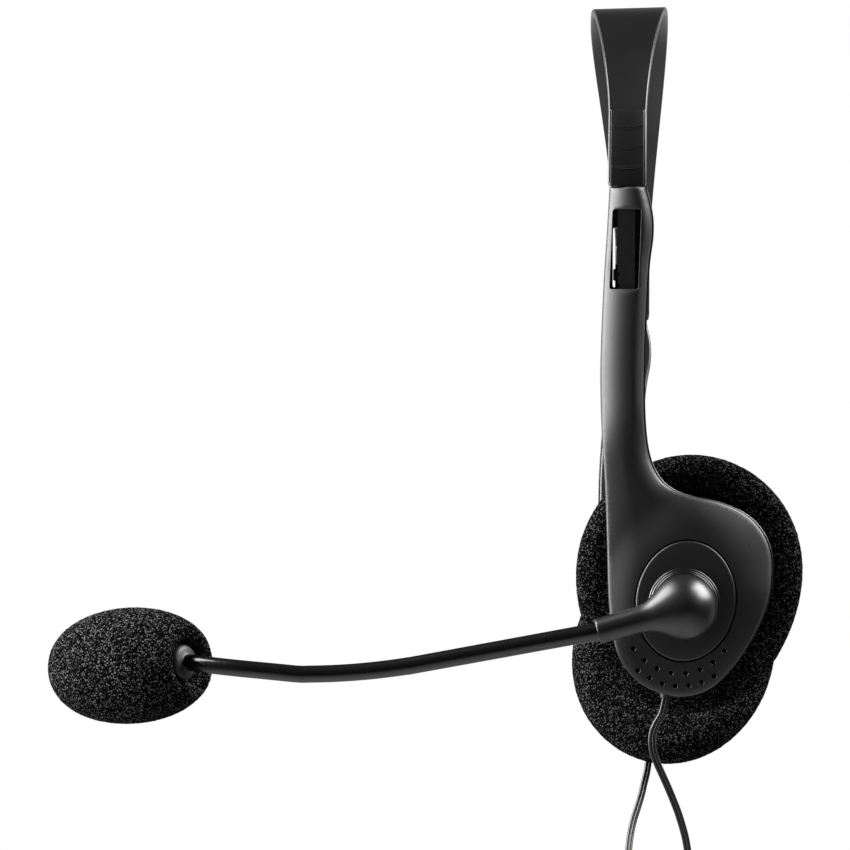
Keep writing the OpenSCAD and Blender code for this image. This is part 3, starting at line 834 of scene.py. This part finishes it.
# %% [markdown]
# ## Headband
# The band is a strip on a half ellipse, wide at the crown and narrow at the ends. A bent cube or a
# curve with a bevel would keep one width, so the strip is a stack of sections instead: a rounded
# rectangle at each angle of the arch, as wide as a formula says. The bright line that runs along its
# edge comes from the small radius of that rectangle.

# %% Headband
BAND_T, CAP_TOP, ARC_Y, ARC_Z = 1.9, -39.0, 72.0, 56.5


def arc_point(u, off):
    """Point (y, z) of the arch at angle u from the crown, off mm outside the underside."""
    return (ARC_Y + off) * np.sin(u), -ARC_Z + (ARC_Z + off) * np.cos(u)


def arc_angle(z, off=0.0):
    """Angle at which the arch is at height z."""
    return math.acos((z + ARC_Z) / (ARC_Z + off))


def band_width(z):
    """Width of the band: 18.6 mm at the crown, down to 8.7 mm at the caps."""
    return 8.7 + 9.9 * np.maximum(0, 1 - z / CAP_TOP) ** 1.45


def skew(u):
    """How far back the band's middle line stands at angle u: its right end is sprung 0.9 mm back."""
    return 0.9 * ease(u / 1.3)


def arch_rings(u, half, low, high, edge_r, n=8):
    """Sections along the arch: a rounded bar from -half to half in x and low to high in thickness."""
    rings = []
    for a, w in zip(u, half):
        flat = rounded(2 * w, high - low, edge_r, n)
        y, z = arc_point(a, (low + high) / 2 + flat[:, 1])
        rings.append(np.stack([flat[:, 0], y, z], -1))
    return np.array(rings)


end = arc_angle(-53)
at_cap = arc_angle(CAP_TOP)
u = np.r_[np.linspace(-end, -at_cap, 6)[:-1], np.linspace(-1, 1, 121) * arc_angle(CAP_TOP - 0.1),
          np.linspace(at_cap, end, 6)[1:]]
z_mid = arc_point(u, 0)[1]
half = np.where(z_mid > CAP_TOP - 0.6, band_width(np.maximum(z_mid, CAP_TOP)) / 2, 3.0)
strip = arch_rings(u, half, 0, BAND_T, 0.42)
strip[:, :, 0] += skew(u)[:, None]
# The crown sits 1 mm lower than the CAD part's and rises by 1 in 20 towards the back.
settled = (0.05 * strip[:, :, 0] - 1.0) * (1 - ease(np.abs(u) / 0.9))[:, None]
strip[:, :, 2] += settled
band = piece("band", *lathe_like(strip), band_plastic.material, "band", 50, ["headband"])
print("band:", len(strip), "sections")

# %% [markdown]
# ## End caps
# A cap holds the end of the band and lets the tongue out below. Its outside has a raised grip panel with
# three thin ribs that sag in the middle, so that a thumb finds them. The cap, the panel and the ribs are
# separate closed skins in one mesh, which overlap as a moulding's features do.

# %% End caps
PANEL_W, RIB_HALF, RIB_BOW = 7.5, 3.7, 12.0


def cap_pieces(name, sign):
    """One cap: sign is -1 on the left and 1 on the right."""
    top, bottom = arc_angle(CAP_TOP), arc_angle(-56.4)
    u = np.linspace(top, bottom, 28)
    soft = np.minimum(1, np.minimum(np.arange(28), 27 - np.arange(28)) / 1.0)
    base = arch_rings(u, np.full(28, 4.35) - 0.2 * (1 - soft), -1.2, BAND_T + 0.4, 0.45)
    u = np.linspace(top + 0.004, bottom, 40)
    panel = []
    for k, a in enumerate(u):
        flat = rounded(PANEL_W, 1.3 if k else 0.9, 0.1, 4)
        y, z = arc_point(a, BAND_T + 0.25 + 0.25 * (k > 0) + flat[:, 1])
        panel.append(np.stack([flat[:, 0], y, z], -1))
    base[-1, :, 2] -= (base[-1, :, 1] - ARC_Y) * math.tan(LEAN)
    panel[-1][:, 2] -= (panel[-1][:, 1] - ARC_Y) * math.tan(LEAN)
    parts = [lathe_like(base), lathe_like(panel)]
    for z in (-43.8, -48.4, -53.0):
        x = np.linspace(-RIB_HALF, RIB_HALF, 25)
        at_z = z + RIB_BOW - np.sqrt(RIB_BOW**2 - x * x)
        body = []
        for xi, zi, k in zip(x, at_z, 1 - 0.4 * (np.abs(x) / RIB_HALF) ** 6):
            a = arc_angle(zi)
            q = 2 * np.pi * np.arange(12) / 12
            r = 0.05 + 0.95 * k
            y, zz = arc_point(a + 0.42 * r * np.cos(q) / ARC_Z, BAND_T + 0.85 + 0.55 * r * np.sin(q))
            body.append(np.stack([np.full(12, xi), y, zz], -1))
        parts.append(lathe_like(body))
    points, faces, at = [], [], 0
    for p, f in parts:
        points.append(p)
        faces += [tuple(i + at for i in face) for face in f]
        at += len(p)
    placed = np.vstack(points) * [1, sign, 1] + [skew(1.3) if sign > 0 else 0, 0, 0]
    o = piece(name, placed, faces, band_plastic.material, "band", 45, [name.replace("_cap", "_band_end")])


cap_pieces("left_cap", -1)
cap_pieces("right_cap", 1)
print("headband and caps done")

# %% [markdown]
# ## Foam
# The pads are foam discs drawn over the speaker plates. A Displace modifier with a noise texture would
# roughen them, but its texture is tied to the object and hard to repeat exactly. So the points of a dense
# skin are pushed along their normals by cell noise from a whole-number hash, which gives the same foam
# each time, and the edge against the light is rough as well.

# %% Foam tools
def hash3(cell, salt):
    """Repeatable random numbers from 0 to 1 for whole-numbered cells."""
    v = (cell * [73856093, 19349663, 83492791]).sum(-1) + salt * 2654435761
    v = (v ^ (v >> 13)) * 1274126177 & 0x7FFFFFFF
    return ((v ^ (v >> 16)) % 100003) / 100003


def foam_cells(points, size):
    """Distance to the nearest random cell centre, in cells: near 0 in a pit and near 1 on a strut."""
    q = points / size
    base, best = np.floor(q).astype(np.int64), np.full(len(points), 9.0)
    for off in np.ndindex(3, 3, 3):
        cell = base + np.array(off) - 1
        centre = cell + np.stack([hash3(cell, k) for k in (1, 2, 3)], -1)
        best = np.minimum(best, ((q - centre) ** 2).sum(-1))
    return np.sqrt(best)


def roughen(points, faces, size, depth):
    """Pushes the points of a mesh along its normals by the cell noise."""
    normals = np.zeros_like(points)
    quads = np.array([f for f in faces if len(f) == 4])
    a, b, c, d = (points[quads[:, k]] for k in range(4))
    n = np.cross(c - a, d - b)
    for k in range(4):
        np.add.at(normals, quads[:, k], n)
    normals /= np.linalg.norm(normals, axis=1)[:, None] + 1e-12
    return points + normals * (depth * (foam_cells(points, size) - 0.55))[:, None]


def resample(rows, n):
    """n rows along a profile, evenly spaced, through a smooth curve."""
    return even(smooth_line(rows, 10), n)


print("foam tools ready")

# %% Ear pads
# Rows are how far out from the middle across the pad's width, and the height h, in mm. The pad's extra
# height is added outside the first 16 mm.
PAD_W, PAD_H, PAD_X, PAD_S = 51.2, 58.8, 14.5, 90.0
outside = [
    (0.0, -12.1), (5, -12.15), (11, -12.5), (15.5, -12.95), (19, -13.0), (21.6, -12.7), (23.6, -11.8),
    (24.9, -10.3), (25.5, -8.6), (25.6, -7.2), (25.3, -5.9), (24.4, -4.7), (23.0, -3.9), (21.4, -3.5),
    (19.6, -3.42), (17.6, -3.5), (16.6, -3.9), (16.4, -4.5),
]
inside_rows = [
    (16.5, -4.75), (20.8, -4.75), (21.1, -5.0), (21.1, -6.1), (20.8, -6.3), (12, -6.3), (0.0, -6.3),
]
SKIN_ROWS, N, CELL, PIT = 105, 380, 0.6, 0.2
profile = np.vstack([resample(outside, SKIN_ROWS), inside_rows])
q = 2 * np.pi * np.arange(N) / N
rings = []
for r, h in profile:
    tall = r + (PAD_H - PAD_W) / 2 * ease(r / 16)
    rings.append(np.stack([
        PAD_X + max(r, 0.02) * np.cos(q), PAD_S + max(tall, 0.02) * np.sin(q), np.full(N, h),
    ], -1))
flat_points, pad_faces = lathe_like(rings)
for name, put in SIDES.items():
    # Soft foam is never quite an oval. The left pad swells by up to 1 mm at its back upper corner, and the
    # right one is drawn in by up to 1.8 mm below. c and k are the shares of x and of up in the way out
    # from the middle. The rim also rises and dips a little round the disc.
    p = flat_points.copy()
    shift = 0.0 if name == "left" else 2.0
    off = p - [PAD_X, PAD_S, 0]
    reach = np.hypot(off[:, 0], off[:, 1])
    c, k = off[:, 0] / reach, -off[:, 1] / reach
    swell = 0.64 * k * c + 1.92 * k * c * c if name == "left" else 1.66 * k * c - 0.93
    p[:, :2] += off[:, :2] * (swell * ease(reach / 22) / reach)[:, None]
    round_at = np.arctan2(p[:, 1] - PAD_S, p[:, 0] - PAD_X)
    wob = 0.22 * np.sin(2 * round_at + 0.7 + shift) + 0.14 * np.sin(5 * round_at + 2.1 * (1 + shift))
    far_out = ease((np.hypot(p[:, 0] - PAD_X, p[:, 1] - PAD_S) - 18) / 6)
    p[:, 2] += 0.6 * wob * far_out * (p[:, 2] > -12) - 0.05
    p[:SKIN_ROWS * N] = roughen(p, pad_faces, CELL, PIT)[:SKIN_ROWS * N]
    o = piece(name + "_pad", put(p), pad_faces, pad_foam.material, name + "_cup", 80, [name + "_ear_foam"])
print("ear pads:", len(flat_points), "points each")

# %% [markdown]
# ## Boom
# The hub is a dome whose neck runs smoothly into a sleeve, on a base ring of three steps. Two meshes and
# a Boolean would meet in a hard line, and Metaballs can't be steered to a size. So the hub is the level
# surface of two shapes that are joined softly: along each ray from the sleeve's axis, halving steps find
# where the surface is.

# %% Base ring and hub
HUB_X, HUB_S, TUBE_H = 13.4, 94.0, 11.0
FALL = math.radians(15.9)
SLEEVE_L = (HUB_X + 6) / math.cos(FALL)
ring_rows = [
    (2.75, 5.6), (7.95, 5.6), (8.05, 5.7), (8.05, 6.0), (7.93, 6.12), (7.62, 6.14), (7.58, 6.2),
    (7.58, 6.5), (7.46, 6.62), (7.17, 6.64), (7.13, 6.7), (7.13, 6.9), (7.03, 7.0), (2.75, 7.0),
]
RING_N = 96


def hub_ring(rows, n):
    """A ring of revolution about the hub's axis, in the cup frame: its last row joins its first."""
    a = 2 * np.pi * np.arange(n) / n
    points, faces = lathe_like([
        np.stack([HUB_X + r * np.cos(a), HUB_S + r * np.sin(a), np.full(n, h)], -1) for r, h in rows
    ])
    last = (len(rows) - 1) * n
    return points, faces[:-2] + [(c, (c + 1) % n, last + (c + 1) % n, last + c) for c in range(n)]


p, f = hub_ring(ring_rows, RING_N)
base_ring = piece("base_ring", left(p), f, boom_plastic.material, "left_cup", 30, ["boom_base_ring"])

way = np.array([-math.cos(FALL), math.sin(FALL), 0])
across = np.array([math.sin(FALL), math.cos(FALL), 0])
root = np.array([HUB_X, HUB_S + 0.6, TUBE_H])
DOME_R, DOME_RISE, DOME_FOOT, DOME_LOW = 7.55, 7.2, 7.7, 0.8


def soft_least(a, b, k):
    """The smaller of two values, rounded off over a width k where they are nearly equal."""
    t = np.clip(0.5 + 0.5 * (b - a) / k, 0, 1)
    return b + (a - b) * t - k * t * (1 - t)


def hub_level(p):
    """Below zero inside the hub: a domed drum with a rounded foot, softly joined to a tapered sleeve."""
    r = np.hypot(p[..., 0] - HUB_X, p[..., 1] - HUB_S - DOME_LOW)
    h = p[..., 2]
    top = (np.sqrt((r / DOME_R) ** 2 + (np.maximum(h - DOME_FOOT, 0) / DOME_RISE) ** 2) - 1) * 7.3
    drum = -soft_least(-top, -(7.2 - h), 0.7)
    rel = p - root
    t = rel @ way
    out = np.sqrt((rel @ across) ** 2 + rel[..., 2] ** 2 + np.minimum(t, 0) ** 2)
    sleeve = out - (3.3 - 0.45 * np.clip(t / SLEEVE_L, 0, 1) - ease(1 - t / 7))
    return soft_least(drum, sleeve, 4.0)


M = 72
q = 2 * np.pi * np.arange(M) / M
rays = np.cos(q)[:, None] * across + np.sin(q)[:, None] * [0, 0, 1]


def surface_from(middle, rays):
    """Where rays from a point inside the hub meet its surface."""
    low, high = np.zeros(M), np.full(M, 14.0)
    for _ in range(34):
        half = (low + high) / 2
        is_in = hub_level(middle + half[:, None] * rays) < 0
        low, high = np.where(is_in, half, low), np.where(is_in, high, half)
    return middle + low[:, None] * rays


steps = np.linspace(0.3, SLEEVE_L - 0.25, 62)
tilts = np.radians(np.r_[0.2, np.linspace(3, 90, 36)])
rings = [surface_from(root, -math.cos(a) * way + math.sin(a) * rays) for a in tilts]
rings += [surface_from(root + t * way, rays) for t in steps]
end_r = np.linalg.norm(rings[-1] - (root + steps[-1] * way), axis=1).mean()
# The sleeve's end: a small bevel, a flat rim, and a hollow that the tube goes into.
for shrink, on in ((0.06, 0.17), (0.22, 0.25), (0.7, 0.25), (1.02, 0.2), (1.06, -1.2), (2.2, -1.2)):
    middle = root + (steps[-1] + on) * way
    rings.append(middle + (end_r - shrink) * rays)
p, f = lathe_like(rings)
hub = piece("hub", left(p), f, boom_plastic.material, "boom", 50, ["boom_hub"])
print("hub:", len(rings), "rings of", M)

# %% [markdown]
# ## Boom tube
# The tube is a wire in a vinyl sleeve. It leaves the hub's sleeve, runs in a long flat arc to the place
# where it bends, and there curls in towards the mouth. One mesh carried along the whole path has no
# seam. It is baked in place and belongs to no body.

# %% Boom tube
BEND = np.array([-73, 110.2, 11.0])
TUBE_D, BEND_RUN, BEND_R, TUBE_ARC = 4.0, 10.4, 27.0, 150.0
MIC_BEND, TUBE_FALL, RISE, DROOP = (math.radians(a) for a in (34, 10.6, 5.0, 8.6))


def raised(p):
    """Turns what lies in front of the bend upwards about it by RISE."""
    x, s, h = p - BEND
    return BEND + [x * math.cos(RISE) - s * math.sin(RISE), x * math.sin(RISE) + s * math.cos(RISE), h]


tube_line = [root + t * way for t in np.linspace(SLEEVE_L - 4, SLEEVE_L, 6)]
tube_line += [
    BEND + [TUBE_ARC * math.sin(a), -TUBE_ARC * (1 - math.cos(a)), 0] for a in np.linspace(TUBE_FALL, 0, 12)
]
tube_line += [raised(BEND - [BEND_RUN / 2, 0, 0])]
tube_line += [
    raised(BEND + [-BEND_RUN - BEND_R * math.sin(a), 0, -BEND_R * (1 - math.cos(a))])
    for a in np.linspace(0, MIC_BEND, 10)
]
mic_root = tube_line[-1]
tube_end = raised(BEND + [-math.cos(MIC_BEND), 0, -math.sin(MIC_BEND)]) - BEND
mic_way = raised(BEND + [
    -math.cos(MIC_BEND) * math.cos(DROOP), math.sin(DROOP), -math.sin(MIC_BEND) * math.cos(DROOP),
]) - BEND
tube_line = even(smooth_line(tube_line + [mic_root + 2 * tube_end], 6), 190)
taper = np.linspace(1.02, 0.95, 190)
tube_rings = sweep(left(tube_line), circle(TUBE_D / 2, 28), scale=taper)
tube = piece("boom_tube", *lathe_like(tube_rings), tube_vinyl.material, None, 60,
             ["boom_tube_rear", "boom_tube_front"])
at_bend, bend_half = left(BEND), np.array([7, 0, 0])
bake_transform(tube)
print("boom tube:", round(length_of(tube_line)), "mm")

# %% [markdown]
# ## Microphone
# A small moulded housing ends in a collar, with a latch over the tube, and the foam windscreen is pulled
# on over it as far as the collar. The windscreen is an egg of revolution. A sphere that is scaled would
# be too pointed at its ends, so the sine in its formula is raised to a power below 1 to fill them out.

# %% Microphone
def mic_lathe(rows, n=72):
    """Skin of revolution about the microphone's axis; heights run away from the tube."""
    a = np.array([0, 1.0, 0]) - mic_way[1] * mic_way
    a /= np.linalg.norm(a)
    b = np.cross(mic_way, a)
    q = 2 * np.pi * np.arange(n) / n
    ring = np.cos(q)[:, None] * a + np.sin(q)[:, None] * b
    return lathe_like([mic_root + h * mic_way + max(r, 0.01) * ring for r, h in rows])


house_rows = [
    (0, -0.3), (1.85, -0.3), (2.1, -0.1), (2.3, 0), (3.0, 0.05), (3.7, 0.35), (4.05, 0.9), (4.15, 1.5),
    (4.15, 2.9), (4.3, 3.2), (5.0, 4.3), (5.2, 4.8), (5.2, 14), (4.4, 14), (4.4, 8.0), (0, 8.0),
]
p, f = mic_lathe(house_rows)
housing = piece("housing", left(p), f, housing_plastic.material, "mic", 45, ["mic_housing"])
down_stem = np.array([0, 1.0, 0])
over_tube = np.cross(mic_way, down_stem)
latch_rings = [
    [mic_root + (0.2 + k) * mic_way + (2.9 - 1.3 * k + y) * down_stem + x * over_tube
     for x, y in rounded(1.0, 2.6, 0.3, 4)]
    for k in (0, 0.9)
]
p, f = lathe_like(latch_rings)
latch = piece("latch", left(p), f, housing_plastic.material, "mic", 45)

# The egg runs from a virtual pole at LIP, and its first part is left out for the mouth.
FOAM_R, FOAM_L, LIP, FULLNESS = 13.2, 41.4, -4.0, 0.78
mouth = [(5.25, 3.6), (4.75, 2.8), (4.6, 1.7), (5.1, 0.5), (5.8, -0.4), (6.9, -0.9)]
egg = [
    (FOAM_R * math.sin(a) ** FULLNESS, LIP + FOAM_L * (0.5 - 0.5 * math.cos(a)))
    for a in np.pi * np.linspace(0.18, 1, 28)
]
outer_rows = resample([*mouth, *egg], 120)
foam_rows = [(0, 15.9), (5.3, 15.9), (5.3, 9), *outer_rows]
N = 260
p, f = mic_lathe(foam_rows, N)
p[3 * N:] = roughen(p, f, CELL, PIT)[3 * N:]
windscreen = piece("windscreen", left(p), f, mic_foam.material, "mic", 80, ["mic_foam"])
print("microphone done")

# %% [markdown]
# ## Finishes of the CAD nodes that stay
# The screws, the springs, the tongues, the drivers and the other inner parts keep the shapes they have in
# the CAD part, and only need a finish. The first key that is found in a node's name gives it.

# %% Finishes of the CAD nodes that stay
plain = {
    "shell_screws": screw_steel, "boom_screw": screw_steel, "boom_washer": screw_steel,
    "speaker_driver": driver_metal, "diaphragm": film, "mic_capsule": capsule_metal,
    "speaker_baffle": inner_plastic, "detent_spring": tongue_plastic, "tongue": tongue_plastic,
    "cord_relief": cord_vinyl, "headband": band_plastic, "band_end": band_plastic,
    "outer_shell": shell_plastic, "inner_shell": inner_plastic, "plate": shell_plastic,
    "base_ring": boom_plastic, "hub": boom_plastic, "tube": tube_vinyl, "housing": housing_plastic,
    "foam": pad_foam,
}
shown = 0
for name, o in nodes.items():
    if o.hide_render:
        continue
    match = [paint for key, paint in plain.items() if key in name]
    o.data.materials.clear()
    o.data.materials.append((match[0] if match else inner_plastic).material)
    shown += 1
print("finishes set on", shown, "CAD nodes")

# %% [markdown]
# ## Light and floor
# Black plastic shows its shape only by what it reflects. A plain white world would wrap it in an even
# grey, so the surround is white to the camera and nearly dark to the plastic, except for a wall behind
# that draws thin bright edges. Three soft boxes then paint the broad highlights, two on the left and one
# on the right, and a pale floor far below gives a little light back.

# %% Surround
WALL, DIM = 0.7, 0.02
scene = bpy.context.scene
scene.view_settings.view_transform = "Standard"
scene.view_settings.look = "None"
world = bpy.data.worlds.new("surround")
scene.world = world
world.use_nodes = True
world.node_tree.nodes.clear()
sky = Tree(world.node_tree)

toward = sky.node("SeparateXYZ", None, sky.node("TexCoord").outputs["Generated"]).outputs
smooth = {"interpolation_type": "SMOOTHSTEP"}
behind = Socket(sky, sky.node("MapRange", smooth, toward["Y"], 0.05, 0.6, 0.0, 1.0).outputs[0])
height = Socket(sky, toward["Z"]).math("ABSOLUTE", toward["Z"])
low_down = Socket(sky, sky.node("MapRange", smooth, height, 0.25, 0.6, 1.0, 0.0).outputs[0])
white = (1, 1, 1, 1)
reflected = sky.node("Background", None, white, behind * low_down * WALL + DIM).outputs[0]
seen = sky.node("Background", None, white, 1.0).outputs[0]
is_seen = sky.node("LightPath").outputs["Is Camera Ray"]
sky.node("OutputWorld", None, sky.node("MixShader", None, is_seen, reflected, seen).outputs[0])
print("surround:", len(world.node_tree.nodes), "nodes")


# %% Soft boxes and floor
CUPS_AT, FLOOR_Z = Vector((-0.02, 0, -0.12)), -2


def soft_box(name, way, far, wide, tall, power):
    """A rectangular light, far metres away in direction way from the cups, facing them."""
    light = bpy.data.lights.new(name, "AREA")
    light.shape, light.size, light.size_y, light.energy = "RECTANGLE", wide, tall, power
    o = bpy.data.objects.new(name, light)
    scene.collection.objects.link(o)
    way = Vector(way).normalized()
    o.location = CUPS_AT + far * way
    o.rotation_mode = "QUATERNION"
    o.rotation_quaternion = (-way).to_track_quat("-Z", "Y")


soft_box("soft_box_left", (-0.80, -0.12, 0.56), 1.25, 0.95, 1.15, 66)
soft_box("soft_box_left_low", (-0.97, -0.16, 0.02), 1.25, 0.6, 0.8, 34)
soft_box("soft_box_right", (0.72, -0.10, 0.68), 1.25, 0.8, 0.9, 50)

floor_mesh = bpy.data.meshes.new("floor")
floor_corners = [(x, y, FLOOR_Z) for x, y in ((-3.6, -3.2), (3.6, -3.2), (3.6, 4.5), (-3.6, 4.5))]
floor_mesh.from_pydata(floor_corners, [], [(0, 1, 2, 3)])
floor = bpy.data.objects.new("floor", floor_mesh)
scene.collection.objects.link(floor)
floor_mesh.materials.append(Paint("floor_paint", grey(0.85), 0.9).material)
print("three soft boxes and the floor")
